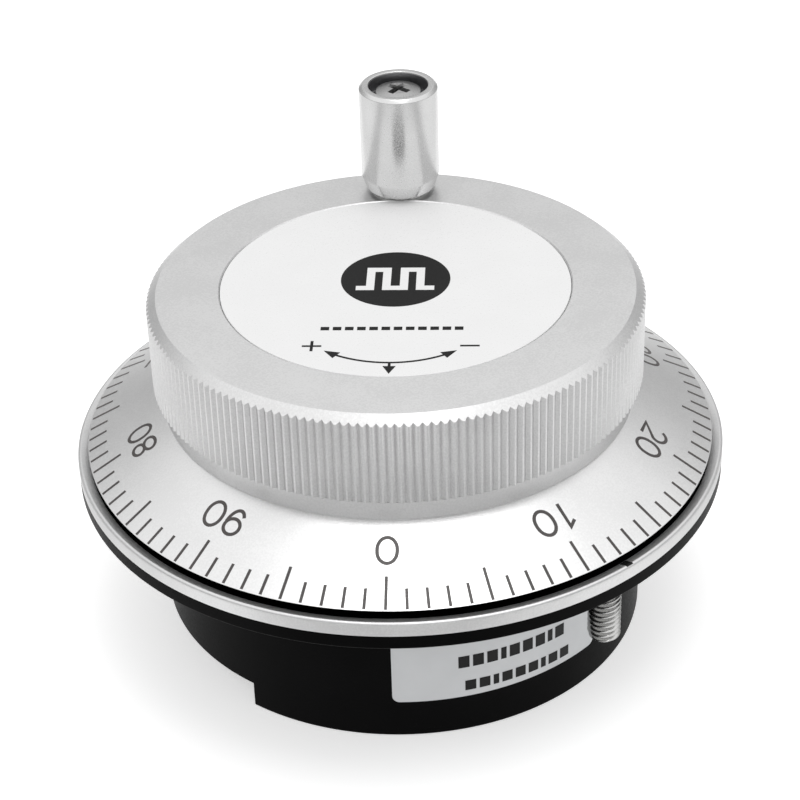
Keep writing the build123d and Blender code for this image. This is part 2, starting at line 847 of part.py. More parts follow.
with BuildPart() as terminal_screws:
    with BuildSketch(Plane.XY.offset(clamp_low_z)):
        with Locations((0, terminal_y)):
            with terminal_row(terminal_count):
                Circle(terminal_screw_r)
    extrude(amount=inner_floor_z - clamp_low_z)
    with BuildSketch(Plane.XY.offset(clamp_low_z)):
        with Locations((0, terminal_y)):
            with terminal_row(terminal_count):
                Circle(terminal_screw_head_r)
    extrude(amount=-terminal_screw_head_t)
    with BuildSketch(Plane.XY.offset(clamp_low_z - terminal_screw_head_t)):
        with Locations((0, terminal_y)):
            with terminal_row(terminal_count):
                Rectangle(6.0, 0.7)
                Rectangle(0.7, 3.4)
    extrude(amount=0.8, mode=Mode.SUBTRACT)
save(terminal_screws, "terminal_screws")

# ---------------------------------------------------------------- rating label
label_dir = (cos(radians(label_start)), sin(radians(label_start)), 0)
label_plane = Plane(origin=(0, 0, 0), x_dir=label_dir, z_dir=(label_dir[1], -label_dir[0], 0))

with BuildPart() as rating_label:
    with BuildSketch(label_plane):
        with Locations((body_r + label_t / 2, (label_low_z + label_top_z) / 2)):
            Rectangle(label_t, label_top_z - label_low_z)
    revolve(axis=Axis.Z, revolution_arc=label_arc)
save(rating_label, "rating_label")

# ---------------------------------------------------------------- crank handle
with BuildPart() as handle_washer:
    with BuildSketch(Plane.XY.offset(knob_top_z)):
        with Locations((handle_x, handle_y)):
            Circle(washer_r)
            Circle(shoulder_r, mode=Mode.SUBTRACT)
    extrude(amount=washer_t)
save(handle_washer, "handle_washer")

head_low_z = cup_z + end_float
head_edge_z = head_low_z + 0.7
head_top_z = head_low_z + 1.3

with BuildPart() as handle_screw:
    with BuildSketch(handle_plane):
        with BuildLine():
            Polyline(
                (0, head_top_z),
                (0, handle_screw_end_z),
                (tapped_r, handle_screw_end_z),
                (tapped_r, knob_top_z),
                (shoulder_r, knob_top_z),
                (shoulder_r, head_low_z),
                (handle_screw_head_r, head_low_z),
                (handle_screw_head_r, head_edge_z),
            )
            TangentArc((0, head_top_z), (handle_screw_head_r, head_edge_z), tangent=(1, 0))
        make_face()
    revolve(axis=handle_axis)
    with BuildSketch(Plane.XY.offset(head_top_z)):
        with Locations((handle_x, handle_y)):
            cross(3.4, 0.75)
    extrude(amount=-1.1, mode=Mode.SUBTRACT)
save(handle_screw, "handle_screw")

with BuildPart() as handle_sleeve:
    with BuildSketch(handle_plane):
        with BuildLine():
            Polyline(
                (handle_bore_r, sleeve_low_z),
                (handle_foot_r, sleeve_low_z),
                (handle_r, sleeve_low_z + handle_foot_h),
                (handle_r, sleeve_top_z - handle_chamfer),
                (handle_r - handle_chamfer, sleeve_top_z),
                (cup_r, sleeve_top_z),
                (cup_r, cup_z),
                (handle_bore_r, cup_z),
                close=True,
            )
        make_face()
    revolve(axis=handle_axis)
save(handle_sleeve, "handle_sleeve")
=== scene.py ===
"""Looks of the panel-mount electronic handwheel, for Blender 4.5.

Sizes are in millimetres where they are named, and become metres when a mesh is made. Every piece is in
the CAD model's frame: origin on the shaft axis in the flange's underside, +Z to the operator, +Y to the
index mark.
"""
import math

import bmesh
import bpy
from mathutils import Matrix, Vector


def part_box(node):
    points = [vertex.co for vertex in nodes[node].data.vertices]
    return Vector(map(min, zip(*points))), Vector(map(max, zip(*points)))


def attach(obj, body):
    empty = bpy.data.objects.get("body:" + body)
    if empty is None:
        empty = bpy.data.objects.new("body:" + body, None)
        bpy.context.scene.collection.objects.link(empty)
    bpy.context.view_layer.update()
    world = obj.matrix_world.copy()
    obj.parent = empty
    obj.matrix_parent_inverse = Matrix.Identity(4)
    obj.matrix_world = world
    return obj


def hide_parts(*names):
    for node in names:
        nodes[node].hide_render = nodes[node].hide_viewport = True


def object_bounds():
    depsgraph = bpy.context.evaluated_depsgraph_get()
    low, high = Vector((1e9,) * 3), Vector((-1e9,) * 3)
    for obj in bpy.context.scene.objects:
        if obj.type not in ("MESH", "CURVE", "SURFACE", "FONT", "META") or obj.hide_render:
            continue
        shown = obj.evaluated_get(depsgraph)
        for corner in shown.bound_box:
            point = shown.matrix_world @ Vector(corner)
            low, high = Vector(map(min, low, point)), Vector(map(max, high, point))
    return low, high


MM = 0.001
TAU = math.tau

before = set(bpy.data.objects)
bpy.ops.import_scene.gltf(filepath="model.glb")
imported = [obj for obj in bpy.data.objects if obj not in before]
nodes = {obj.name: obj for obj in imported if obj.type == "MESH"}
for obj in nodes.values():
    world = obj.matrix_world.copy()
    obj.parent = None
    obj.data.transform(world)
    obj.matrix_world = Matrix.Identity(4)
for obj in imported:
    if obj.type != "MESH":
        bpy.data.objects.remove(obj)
cad_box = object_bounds()


def corner(node, which, axis):
    """One coordinate of a CAD node's box in millimetres: which is 0 for low and 1 for high."""
    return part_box(node)[which][axis] / MM


# ------------------------------------------------------------------ sizes, from the CAD frame
flange_r = corner("housing", 1, 0)
flange_top = corner("housing", 1, 2)
back_z = corner("housing", 0, 2)
body_r = 30.3
recess_depth = 3.5
recess_edge_y = 6.2
recess_z = back_z + recess_depth
wall_t = 2.0
floor_t = 1.7

bezel_top = corner("bezel_ring", 1, 2)
bezel_inner_r = 38.53
bezel_inner_z = 3.2
index_w = 1.0
index_root = -0.1
index_t = 0.015

stud_r = 1.96
stud_circle_r = 36.0
stud_low = corner("mounting_studs", 0, 2)
stud_angles = (90.0, 210.0, 330.0)
thread_pitch = 0.7
thread_root_r = 1.50
stud_head_r = 3.1
stud_head_low = 1.0
stud_skin = 0.2                 # plastic over the heads

knob_r = corner("knob", 1, 0)
knob_top = corner("knob", 1, 2)
knob_low = 12.67
knob_chamfer_r = 1.15
knob_chamfer_h = 1.03
knurl_count = 184
knurl_w = 0.8
knurl_depth = 0.33
insert_r = corner("insert_plate", 1, 0)
insert_top = corner("insert_plate", 1, 2)
insert_low = corner("insert_plate", 0, 2)
knob_wall_r = 26.9              # inside of the rim
knob_web_z = 20.0               # underside of the web
hub_r = 12.0
spigot_r = 6.0
spigot_low = 10.3
knob_bore_r = 4.0
boss_t = 2.6                    # the web under the insert

dial_r = corner("dial", 1, 0)
dial_rim_z = 4.33
dial_top = corner("dial", 1, 2)
collar_r = 28.98
collar_z = 9.78
web_low = dial_top - 1.5
dial_bore_r = 6.1
web_r = 27.4
divisions = 100
long_tick_r = 35.0              # where the graduations start
short_tick_r = 36.3
tick_end_r = 38.52
tick_half_w = 0.18
zero_angle = 46.55
print_angle = 226.8

sleeve_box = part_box("handle_sleeve")
handle_x = (sleeve_box[0][0] + sleeve_box[1][0]) / 2 / MM
handle_y = (sleeve_box[0][1] + sleeve_box[1][1]) / 2 / MM
handle_r = 5.0
sleeve_low = corner("handle_sleeve", 0, 2)
sleeve_top = corner("handle_sleeve", 1, 2)
sleeve_bore_r = 2.56
foot_r = 4.4
foot_h = 1.8
cup_r = 3.8
cup_depth = 1.86
screw_head_r = 3.0
screw_low = 15.2
thread_r = 2.0
shoulder_r = 2.5
washer_r = 3.85
washer_t = 0.4
washer_bore_r = 2.52
screw_top = corner("handle_screw", 1, 2)

label_start = 46.3
label_arc = 51.9
label_low = corner("rating_label", 0, 2)
label_top = corner("rating_label", 1, 2)
label_t = 0.10

terminal_y = -3.5
window_half_x = 23.5            # the terminals' window in the back
window_half_y = 6.0
column_r = 3.0
column_circle_r = 24.5
column_top = -0.3
column_angles = (30, 150, 270)
standoff_r = 2.5
standoff_circle_r = 23.0
standoff_top = -13.9
standoff_angles = (90, 235, 305)


# ------------------------------------------------------------------ mesh helpers
def rounded(corners, steps=5):
    """Points of a closed outline. A corner is (r, z) or (r, z, fillet radius)."""
    points = []
    for i, here in enumerate(corners):
        spot = Vector(here[:2])
        fillet = here[2] if len(here) > 2 else 0.0
        if not fillet:
            points.append(tuple(spot))
            continue
        before = (Vector(corners[i - 1][:2]) - spot).normalized()
        after = (Vector(corners[(i + 1) % len(corners)][:2]) - spot).normalized()
        half = before.angle(after) / 2
        centre = spot + (before + after).normalized() * fillet / math.sin(half)
        start = spot + before * fillet / math.tan(half) - centre
        end = spot + after * fillet / math.tan(half) - centre
        first = math.atan2(start.y, start.x)
        sweep = (math.atan2(end.y, end.x) - first + math.pi) % TAU - math.pi
        for k in range(steps + 1):
            a = first + sweep * k / steps
            points.append((centre.x + fillet * math.cos(a), centre.y + fillet * math.sin(a)))
    return points


def finish_mesh(name, bm, sharp=35.0):
    """Turn bm into a linked object with clean normals and smooth shading split at sharp edges."""
    bmesh.ops.remove_doubles(bm, verts=bm.verts, dist=1e-8)
    bmesh.ops.dissolve_degenerate(bm, edges=bm.edges, dist=1e-8)
    bmesh.ops.recalc_face_normals(bm, faces=bm.faces)
    mesh = bpy.data.meshes.new(name)
    bm.to_mesh(mesh)
    bm.free()
    obj = bpy.data.objects.new(name, mesh)
    bpy.context.scene.collection.objects.link(obj)
    smooth(obj, sharp)
    return obj


def smooth(obj, sharp):
    """Shade smooth, with edges over the given angle kept sharp."""
    for face in obj.data.polygons:
        face.use_smooth = True
    obj.data.set_sharp_from_angle(angle=math.radians(sharp))


def spin(name, column, count, centre=(0.0, 0.0), sharp=35.0):
    """A closed surface of revolution. column(i) gives the closed outline, as (r, z), at angle i."""
    bm = bmesh.new()
    rings = []
    for i in range(count):
        a, outline = column(i)
        rings.append(
            [
                bm.verts.new(
                    (
                        (centre[0] + r * math.cos(a)) * MM,
                        (centre[1] + r * math.sin(a)) * MM,
                        z * MM,
                    )
                )
                for r, z in outline
            ]
        )
    for i in range(count):
        here, there = rings[i], rings[(i + 1) % count]
        for k in range(len(here)):
            m = (k + 1) % len(here)
            bm.faces.new((here[k], there[k], there[m], here[m]))
    return finish_mesh(name, bm, sharp)


def lathe(name, corners, centre=(0.0, 0.0), count=192, steps=5):
    """Turn an outline with rounded corners about a vertical axis."""
    outline = rounded(corners, steps)
    return spin(name, lambda i: (TAU * i / count, outline), count, centre)


def block(name, low, high):
    """A plain box between two corners in millimetres, as a tool for a boolean."""
    bm = bmesh.new()
    bmesh.ops.create_cube(bm, size=1.0)
    size = Vector(high) - Vector(low)
    middle = (Vector(high) + Vector(low)) / 2
    for v in bm.verts:
        v.co = Vector((v.co[i] * size[i] + middle[i] for i in range(3))) * MM
    return finish_mesh(name, bm)


def rod(name, r, low, high, centre=(0.0, 0.0), count=48):
    """A plain cylinder, as a tool for a boolean."""
    return lathe(name, [(0, low), (r, low), (r, high), (0, high)], centre, count)


def combine(obj, tools, operation):
    """Apply a boolean with each tool in turn, and remove the tools."""
    for tool in tools:
        change = obj.modifiers.new("combine", "BOOLEAN")
        change.operation = operation
        change.solver = "EXACT"
        change.object = tool
        bake(obj)
        bpy.data.objects.remove(tool)
    return obj


def bake(obj):
    """Apply every modifier of obj to its mesh."""
    bpy.context.view_layer.update()
    seen = obj.evaluated_get(bpy.context.evaluated_depsgraph_get())
    mesh = bpy.data.meshes.new_from_object(seen)
    obj.modifiers.clear()
    obj.data = mesh


def ease_edges(obj, width, angle=40.0, segments=2):
    """Break the sharp edges of obj with a small bevel, in millimetres."""
    bevel = obj.modifiers.new("edges", "BEVEL")
    bevel.width = width * MM
    bevel.segments = segments
    bevel.limit_method = "ANGLE"
    bevel.angle_limit = math.radians(angle)
    bevel.use_clamp_overlap = True
    bake(obj)
    smooth(obj, 35.0)
    return obj


def level_normals(obj):
    """Weight the normals by area, so that flat faces stay flat beside small bevels."""
    weight = obj.modifiers.new("normals", "WEIGHTED_NORMAL")
    weight.keep_sharp = True
    weight.weight = 80


def patch(bm, samples, place, low, high):
    """Add a thin closed plate to bm. samples are (u, v from, v to) along it, and low and high its faces."""
    rings = [
        [bm.verts.new(place(u, v, w)) for v, w in ((v0, low), (v1, low), (v1, high), (v0, high))]
        for u, v0, v1 in samples
    ]
    for here, there in zip(rings, rings[1:]):
        for k in range(4):
            m = (k + 1) % 4
            bm.faces.new((here[k], there[k], there[m], here[m]))
    bm.faces.new(rings[0])
    bm.faces.new(rings[-1])


def plate(bm, outline, place, low, high):
    """Add a flat closed plate to bm, from its outline as (u, v) points."""
    under, over = ([bm.verts.new(place(u, v, w)) for u, v in outline] for w in (low, high))
    bm.faces.new(under)
    bm.faces.new(over)
    for k in range(len(outline)):
        m = (k + 1) % len(outline)
        bm.faces.new((under[k], under[m], over[m], over[k]))


def ribbon(bm, points, place, width, low, high):
    """Add one stroke of even width along a line of points."""
    spots = [Vector(p) for p in points]
    count = len(spots)
    closed = (spots[0] - spots[-1]).length < 1e-4
    if closed:
        spots = spots[:-1]
        count -= 1
    rings = []
    for k, spot in enumerate(spots):
        before = spots[(k - 1) % count] if closed or k else None
        after = spots[(k + 1) % count] if closed or k < count - 1 else None
        ahead = (after - spot).normalized() if after is not None else (spot - before).normalized()
        behind = (spot - before).normalized() if before is not None else ahead
        along = (ahead + behind).normalized()
        aside = Vector((-along.y, along.x)) * (width / 2 / max(0.5, along.dot(ahead)))
        left, right = spot + aside, spot - aside
        rings.append(
            [
                bm.verts.new(place(q.x, q.y, w))
                for q, w in ((left, low), (right, low), (right, high), (left, high))
            ]
        )
    pairs = list(zip(rings, rings[1:]))
    if closed:
        pairs.append((rings[-1], rings[0]))
    else:
        bm.faces.new(rings[0])
        bm.faces.new(rings[-1])
    for here, there in pairs:
        for k in range(4):
            m = (k + 1) % 4
            bm.faces.new((here[k], there[k], there[m], here[m]))


# ------------------------------------------------------------------ materials
EDGE_TINT = 0.75                # satin metal returns less at a glancing angle than a polished one
AXIS = (0.0, 0.0)
HANDLE_AXIS = (handle_x, handle_y)


class Nodes:
    """A small helper that wires up one material."""

    def __init__(self, name):
        self.material = bpy.data.materials.new(name)
        self.material.use_nodes = True
        self.tree = self.material.node_tree
        self.shader = self.tree.nodes["Principled BSDF"]
        self.position = self.add("ShaderNodeTexCoord").outputs["Object"]

    def add(self, kind, **settings):
        node = self.tree.nodes.new(kind)
        for key, value in settings.items():
            setattr(node, key, value)
        return node

    def link(self, source, target):
        self.tree.links.new(source, target)

    def math(self, operation, first, second=None):
        node = self.add("ShaderNodeMath", operation=operation)
        for socket, value in zip(node.inputs, (first, second)):
            if value is None:
                continue
            if isinstance(value, (int, float)):
                socket.default_value = value
            else:
                self.link(value, socket)
        return node.outputs[0]

    def noise(self, scale, detail=2.0, stretch=(1.0, 1.0, 1.0)):
        """Noise in object space. scale is in cycles a metre."""
        mapping = self.add("ShaderNodeMapping")
        mapping.inputs["Scale"].default_value = stretch
        self.link(self.position, mapping.inputs["Vector"])
        node = self.add("ShaderNodeTexNoise")
        node.inputs["Scale"].default_value = scale
        node.inputs["Detail"].default_value = detail
        self.link(mapping.outputs[0], node.inputs["Vector"])
        return node.outputs["Fac"]

    def radius(self, centre):
        """Distance from a vertical axis, in metres."""
        shift = self.add("ShaderNodeVectorMath", operation="SUBTRACT")
        self.link(self.position, shift.inputs[0])
        shift.inputs[1].default_value = (centre[0] * MM, centre[1] * MM, 0)
        flat = self.add("ShaderNodeVectorMath", operation="MULTIPLY")
        self.link(shift.outputs[0], flat.inputs[0])
        flat.inputs[1].default_value = (1, 1, 0)
        length = self.add("ShaderNodeVectorMath", operation="LENGTH")
        self.link(flat.outputs[0], length.inputs[0])
        return length.outputs["Value"]

    def rings(self, centre, per_metre):
        """Fine turning marks: one-dimensional noise of the radius."""
        node = self.add("ShaderNodeTexNoise", noise_dimensions="1D")
        node.inputs["Scale"].default_value = 1.0
        node.inputs["Detail"].default_value = 3.0
        self.link(self.math("MULTIPLY", self.radius(centre), per_metre), node.inputs["W"])
        return node.outputs["Fac"]

    def along(self, direction):
        """Distance along a fixed direction in object space, in metres."""
        node = self.add("ShaderNodeVectorMath", operation="DOT_PRODUCT")
        self.link(self.position, node.inputs[0])
        node.inputs[1].default_value = direction
        return node.outputs["Value"]

    def fade(self, value, start, end):
        """A smooth step from 0 to 1."""
        node = self.add("ShaderNodeMapRange", interpolation_type="SMOOTHSTEP")
        node.inputs["From Min"].default_value = start
        node.inputs["From Max"].default_value = end
        self.link(value, node.inputs["Value"])
        return node.outputs["Result"]

    def spread(self, value, low, high):
        """Map a 0 to 1 value to a range."""
        node = self.add("ShaderNodeMapRange")
        node.inputs["From Min"].default_value = 0.3
        node.inputs["From Max"].default_value = 0.7
        node.inputs["To Min"].default_value = low
        node.inputs["To Max"].default_value = high
        self.link(value, node.inputs["Value"])
        return node.outputs["Result"]

    def tint(self, value, dark, light):
        """Blend two colours by a 0 to 1 value."""
        node = self.add("ShaderNodeMix", data_type="RGBA")
        self.link(value, node.inputs[0])
        node.inputs[6].default_value = (*dark, 1)
        node.inputs[7].default_value = (*light, 1)
        return node.outputs[2]

    def towards(self, colour, value, grey):
        """Blend a colour towards a grey by a 0 to 1 value."""
        node = self.add("ShaderNodeMix", data_type="RGBA")
        self.link(value, node.inputs[0])
        self.link(colour, node.inputs[6])
        node.inputs[7].default_value = (grey, grey, grey, 1)
        return node.outputs[2]

    def bump(self, height, depth, strength=1.0, below=None):
        """Relief from a 0 to 1 height. depth is in metres."""
        node = self.add("ShaderNodeBump")
        node.inputs["Strength"].default_value = strength
        node.inputs["Distance"].default_value = depth
        self.link(height, node.inputs["Height"])
        if below:
            self.link(below, node.inputs["Normal"])
        return node.outputs["Normal"]


def surface(name, colour, metallic, roughness, shade=0.05, wander=0.04, grain=5000.0, depth=2e-6,
            mottle=160.0, speckle=0.0, turned=None, ring_depth=1.5e-6, rings_per_metre=9000.0, **constants):
    """A finished surface: tone, roughness and relief all vary, at the grain's own scale."""
    n = Nodes(name)
    grain_value = n.noise(grain, 3.0)
    tone = n.spread(n.noise(mottle, 4.0), 0.0, 1.0)
    dark = tuple(c * (1 - shade) for c in colour)
    light = tuple(min(1.0, c * (1 + shade)) for c in colour)
    if speckle:
        tone = n.math("ADD", tone, n.spread(grain_value, -speckle, speckle))
    n.link(n.tint(tone, dark, light), n.shader.inputs["Base Color"])
    n.link(n.spread(grain_value, roughness - wander, roughness + wander), n.shader.inputs["Roughness"])
    normal = n.bump(grain_value, depth)
    if turned:
        normal = n.bump(n.rings(turned, rings_per_metre), ring_depth, below=normal)
    n.link(normal, n.shader.inputs["Normal"])
    n.shader.inputs["Metallic"].default_value = metallic
    if metallic:
        n.shader.inputs["Specular Tint"].default_value = (EDGE_TINT, EDGE_TINT, EDGE_TINT, 1)
    for socket, value in constants.items():
        n.shader.inputs[socket.replace("_", " ")].default_value = value
    return n.material


MATERIALS = {
    "black_plastic": surface(
        "black_plastic", (0.0016, 0.0016, 0.0017), 0.0, 0.40, shade=0.25, wander=0.06, grain=4200, depth=9e-6,
        Specular_IOR_Level=0.034,
    ),
    "satin_aluminium": surface(
        "satin_aluminium", (0.74, 0.74, 0.74), 1.0, 0.42, grain=4500, depth=5e-6, speckle=0.6, turned=AXIS
    ),
    "knob_aluminium": surface(
        "knob_aluminium", (0.83, 0.83, 0.83), 1.0, 0.34, shade=0.04, grain=4200, depth=1.2e-5, speckle=0.9,
        turned=AXIS, ring_depth=5e-7,
    ),
    "dial_aluminium": surface(
        "dial_aluminium", (0.86, 0.86, 0.86), 1.0, 0.34, shade=0.03, grain=4200, depth=9e-6, speckle=0.9,
        turned=AXIS, ring_depth=4e-7,
    ),
    "handle_chrome": surface(
        "handle_chrome", (0.77, 0.77, 0.77), 1.0, 0.25, shade=0.04, grain=5200, depth=3e-6,
        turned=HANDLE_AXIS,
    ),
    "bright_steel": surface("bright_steel", (0.66, 0.66, 0.65), 1.0, 0.22, shade=0.10, grain=5200),
    "screw_steel": surface("screw_steel", (0.46, 0.46, 0.46), 1.0, 0.30, shade=0.12, grain=5200, depth=4e-6),
    "bearing_steel": surface("bearing_steel", (0.60, 0.61, 0.62), 1.0, 0.16, grain=6000, turned=AXIS),
    "cast_alloy": surface("cast_alloy", (0.52, 0.52, 0.53), 1.0, 0.42, shade=0.10, grain=2600, depth=8e-6),
    "soft_iron": surface("soft_iron", (0.30, 0.30, 0.31), 1.0, 0.38, shade=0.15, grain=3000, depth=4e-6),
    "magnet": surface("magnet", (0.42, 0.42, 0.44), 1.0, 0.24, shade=0.12, grain=3000),
    "brass": surface("brass", (0.72, 0.50, 0.20), 1.0, 0.26, shade=0.12, grain=4200),
    "white_plastic": surface(
        "white_plastic", (0.82, 0.82, 0.82), 0.0, 0.30, shade=0.01, grain=5200, depth=1.5e-6,
        Specular_IOR_Level=0.5,
    ),
    "black_paint": surface(
        "black_paint", (0.004, 0.004, 0.004), 0.0, 0.42, shade=0.3, grain=6000, Specular_IOR_Level=0.2
    ),
    "dial_ink": surface(
        "dial_ink", (0.055, 0.047, 0.045), 0.0, 0.36, shade=0.2, grain=7000, Specular_IOR_Level=0.6
    ),
    "label_film": surface("label_film", (0.60, 0.61, 0.62), 0.35, 0.42, shade=0.04, grain=6000),
    "board_green": surface("board_green", (0.012, 0.11, 0.04), 0.0, 0.30, shade=0.35, mottle=700.0),
    "black_gloss_plastic": surface("black_gloss_plastic", (0.02, 0.02, 0.022), 0.0, 0.26, shade=0.2),
    "ceramic": surface("ceramic", (0.45, 0.34, 0.21), 0.0, 0.45, shade=0.12),
    "capacitor_sleeve": surface("capacitor_sleeve", (0.03, 0.05, 0.16), 0.0, 0.24, shade=0.15),
    "code_disc_film": surface("code_disc_film", (0.05, 0.05, 0.055), 0.0, 0.14, shade=0.2, Coat_Weight=0.5),
}


def dress(obj, material, body, replaces=()):
    """Give a new piece its material, its body and the CAD nodes that it stands for."""
    obj.data.materials.clear()
    obj.data.materials.append(MATERIALS[material])
    for face in obj.data.polygons:
        face.material_index = 0
    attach(obj, body)
    if replaces:
        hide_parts(*replaces)
    return obj


# ------------------------------------------------------------------ camera, floor and light
CAMERA_AZIMUTH = 139.8          # 0 looks along +Y
CAMERA_ELEVATION = 32.65
CAMERA_ROLL = -1.754
CAMERA_DISTANCE = 283.4
CAMERA_LENS = 102.8
TARGET = Vector((-0.10, 0.08, 7.26))

# tone of the surroundings against the height of the direction, from the horizon to straight up
SKY = ((0.0, 0.40), (0.30, 0.52), (0.50, 0.69), (0.59, 1.02), (1.0, 0.98))
SKY_STRENGTH = 0.97
OVERHEAD_POWER = 2.0
FLOOR_GLOW = 0.50
FRONT_TONE = 0.56               # of the floor in front of the clear area
SIDE_TONE = 0.88                # and at its sides
CLEAR_FRONT = 0.046             # its reach towards the camera, in metres
CLEAR_HALF_WIDTH = 0.053        # its half width beside the shaft
CLEAR_WIDENING = 0.155
FRONT_FADE = 0.020
SIDE_FADE = 0.022


def make_camera():
    """The main view: a long lens from above the zero of the dial."""
    a, e, roll = (math.radians(v) for v in (CAMERA_AZIMUTH, CAMERA_ELEVATION, CAMERA_ROLL))
    back = Vector((math.sin(a) * math.cos(e), -math.cos(a) * math.cos(e), math.sin(e)))
    right = Vector((0, 0, 1)).cross(back).normalized()
    up = back.cross(right)
    tilted_right = right * math.cos(roll) + up * math.sin(roll)
    tilted_up = up * math.cos(roll) - right * math.sin(roll)
    data = bpy.data.cameras.new("camera")
    data.lens = CAMERA_LENS
    data.sensor_width = 36.0
    data.clip_start = 0.01
    camera = bpy.data.objects.new("camera", data)
    turn = Matrix((tilted_right, tilted_up, back)).transposed().to_4x4()
    camera.matrix_world = Matrix.Translation((TARGET + back * CAMERA_DISTANCE) * MM) @ turn
    bpy.context.scene.collection.objects.link(camera)
    bpy.context.scene.camera = camera


def make_floor():
    """A plain pale floor under the back of the housing.

    It glows a little around the object, so that shadows stay faint, and fades to a deeper tone further
    out, for the metal to reflect. The clear area is a wedge that widens away from the camera.
    """
    bm = bmesh.new()
    bmesh.ops.create_grid(bm, x_segments=1, y_segments=1, size=4.0)
    floor = finish_mesh("floor", bm)
    floor.location.z = cad_box[0][2] - 0.00002
    a = math.radians(CAMERA_AZIMUTH)
    n = Nodes("floor")
    nearer = n.along((math.sin(a), -math.cos(a), 0))
    aside = n.math("ABSOLUTE", n.along((math.cos(a), math.sin(a), 0)))
    half_width = n.math("SUBTRACT", CLEAR_HALF_WIDTH, n.math("MULTIPLY", nearer, CLEAR_WIDENING))
    past_side = n.fade(n.math("SUBTRACT", aside, half_width), 0.0, SIDE_FADE)
    past_front = n.fade(nearer, CLEAR_FRONT, CLEAR_FRONT + FRONT_FADE)
    outside = n.math("MAXIMUM", past_side, past_front)
    wander = n.spread(n.noise(3.0, 2.0), 0.0, 1.0)
    tone = n.tint(wander, (0.82, 0.82, 0.82), (0.85, 0.85, 0.85))
    tone = n.towards(tone, past_side, SIDE_TONE)
    tone = n.towards(tone, past_front, FRONT_TONE)
    n.link(tone, n.shader.inputs["Base Color"])
    glow = n.math("MULTIPLY", n.math("SUBTRACT", 1.0, outside), FLOOR_GLOW)
    n.link(glow, n.shader.inputs["Emission Strength"])
    n.shader.inputs["Emission Color"].default_value = (1, 1, 1, 1)
    n.shader.inputs["Roughness"].default_value = 0.7
    n.shader.inputs["Specular IOR Level"].default_value = 0.2
    floor.data.materials.append(n.material)


def make_world():
    """Soft surroundings: brightest overhead, greyer towards the horizon."""
    world = bpy.data.worlds.new("studio")
    world.use_nodes = True
    tree = world.node_tree
    direction = tree.nodes.new("ShaderNodeTexCoord")
    split = tree.nodes.new("ShaderNodeSeparateXYZ")
    ramp = tree.nodes.new("ShaderNodeValToRGB")
    tree.links.new(direction.outputs["Generated"], split.inputs[0])
    tree.links.new(split.outputs["Z"], ramp.inputs[0])
    ramp.color_ramp.elements[0].position = SKY[0][0]
    ramp.color_ramp.elements[0].color = (SKY[0][1],) * 3 + (1,)
    ramp.color_ramp.elements[1].position = SKY[-1][0]
    ramp.color_ramp.elements[1].color = (SKY[-1][1],) * 3 + (1,)
    for place, value in SKY[1:-1]:
        stop = ramp.color_ramp.elements.new(place)
        stop.color = (value, value, value, 1)
    tree.links.new(ramp.outputs[0], tree.nodes["Background"].inputs[0])
    tree.nodes["Background"].inputs[1].default_value = SKY_STRENGTH
    bpy.context.scene.world = world


def make_softbox(name, place, size, power):
    """A square area light at a place in metres, aimed at the knob."""
    data = bpy.data.lights.new(name, "AREA")
    data.shape = "SQUARE"
    data.size = size
    data.energy = power
    light = bpy.data.objects.new(name, data)
    light.location = place
    aim = Vector((0, 0, 0.01)) - Vector(place)
    light.rotation_euler = aim.to_track_quat("-Z", "Y").to_euler()
    bpy.context.scene.collection.objects.link(light)


def make_lights():
    """One softbox overhead, placed about the camera's direction."""
    a = math.radians(CAMERA_AZIMUTH)
    front = Vector((math.sin(a), -math.cos(a), 0))
    side = Vector((math.cos(a), math.sin(a), 0))
    make_softbox("overhead", front * 0.03 + side * 0.06 + Vector((0, 0, 0.9)), 0.50, OVERHEAD_POWER)


make_camera()
make_floor()
make_world()
make_lights()
bpy.context.scene.view_settings.view_transform = "Standard"

# ------------------------------------------------------------------ knob
KNURL_SAMPLES = 4               # groove floor, edge, middle of the land, edge


def knob_column(i):
    """The knob's outline at one of the knurl's angles. Grooves run out through the chamfer."""
    tooth, part = divmod(i, KNURL_SAMPLES)
    groove_half = math.degrees(knurl_w / 2 / knob_r)
    offsets = (0.0, groove_half, 180 / knurl_count, 360 / knurl_count - groove_half)
    drop = knurl_depth if part == 0 else 0.0
    r = knob_r - drop
    top_r = knob_r - knob_chamfer_r
    run_out = knob_top - knob_chamfer_h * (r - top_r) / knob_chamfer_r
    seat_r = insert_r + 0.07
    outline = [
        (0.0, insert_low - boss_t),
        (0.0, insert_low - 0.02),
        (seat_r, insert_low - 0.02),
        (seat_r, knob_top - 0.14),
        (seat_r + 0.14, knob_top),
        (top_r - 0.03, knob_top),
        (top_r + 0.02, knob_top - 0.04),
        (r, run_out),
        (r, knob_low + 0.12),
        (r - 0.12, knob_low),
        (knob_wall_r, knob_low),
        (knob_wall_r, knob_web_z),
        (hub_r, knob_web_z),
        (hub_r, dial_top),
        (spigot_r, dial_top),
        (spigot_r, spigot_low),
        (knob_bore_r, spigot_low),
        (knob_bore_r, insert_low - boss_t),
    ]
    return math.radians(print_angle + tooth * 360 / knurl_count + offsets[part]), outline


knob = spin("knob_wheel", knob_column, knurl_count * KNURL_SAMPLES, sharp=24.0)
level_normals(knob)
dress(knob, "knob_aluminium", "knob_body", ["knob"])

insert = lathe(
    "insert_disc",
    [(0, insert_low), (insert_r, insert_low), (insert_r, insert_top, 0.12), (0, insert_top)],
)
level_normals(insert)
dress(insert, "white_plastic", "knob_body", replaces=["insert_plate"])

# ------------------------------------------------------------------ printing on the insert
CRANK = Vector((math.cos(math.radians(print_angle)), math.sin(math.radians(print_angle)), 0))
ACROSS = Vector((CRANK.y, -CRANK.x, 0))
PRINT_T = 0.02
PRINT_ROOT = -0.02
SIGN_R = 6.6
SIGN_V = 1.0


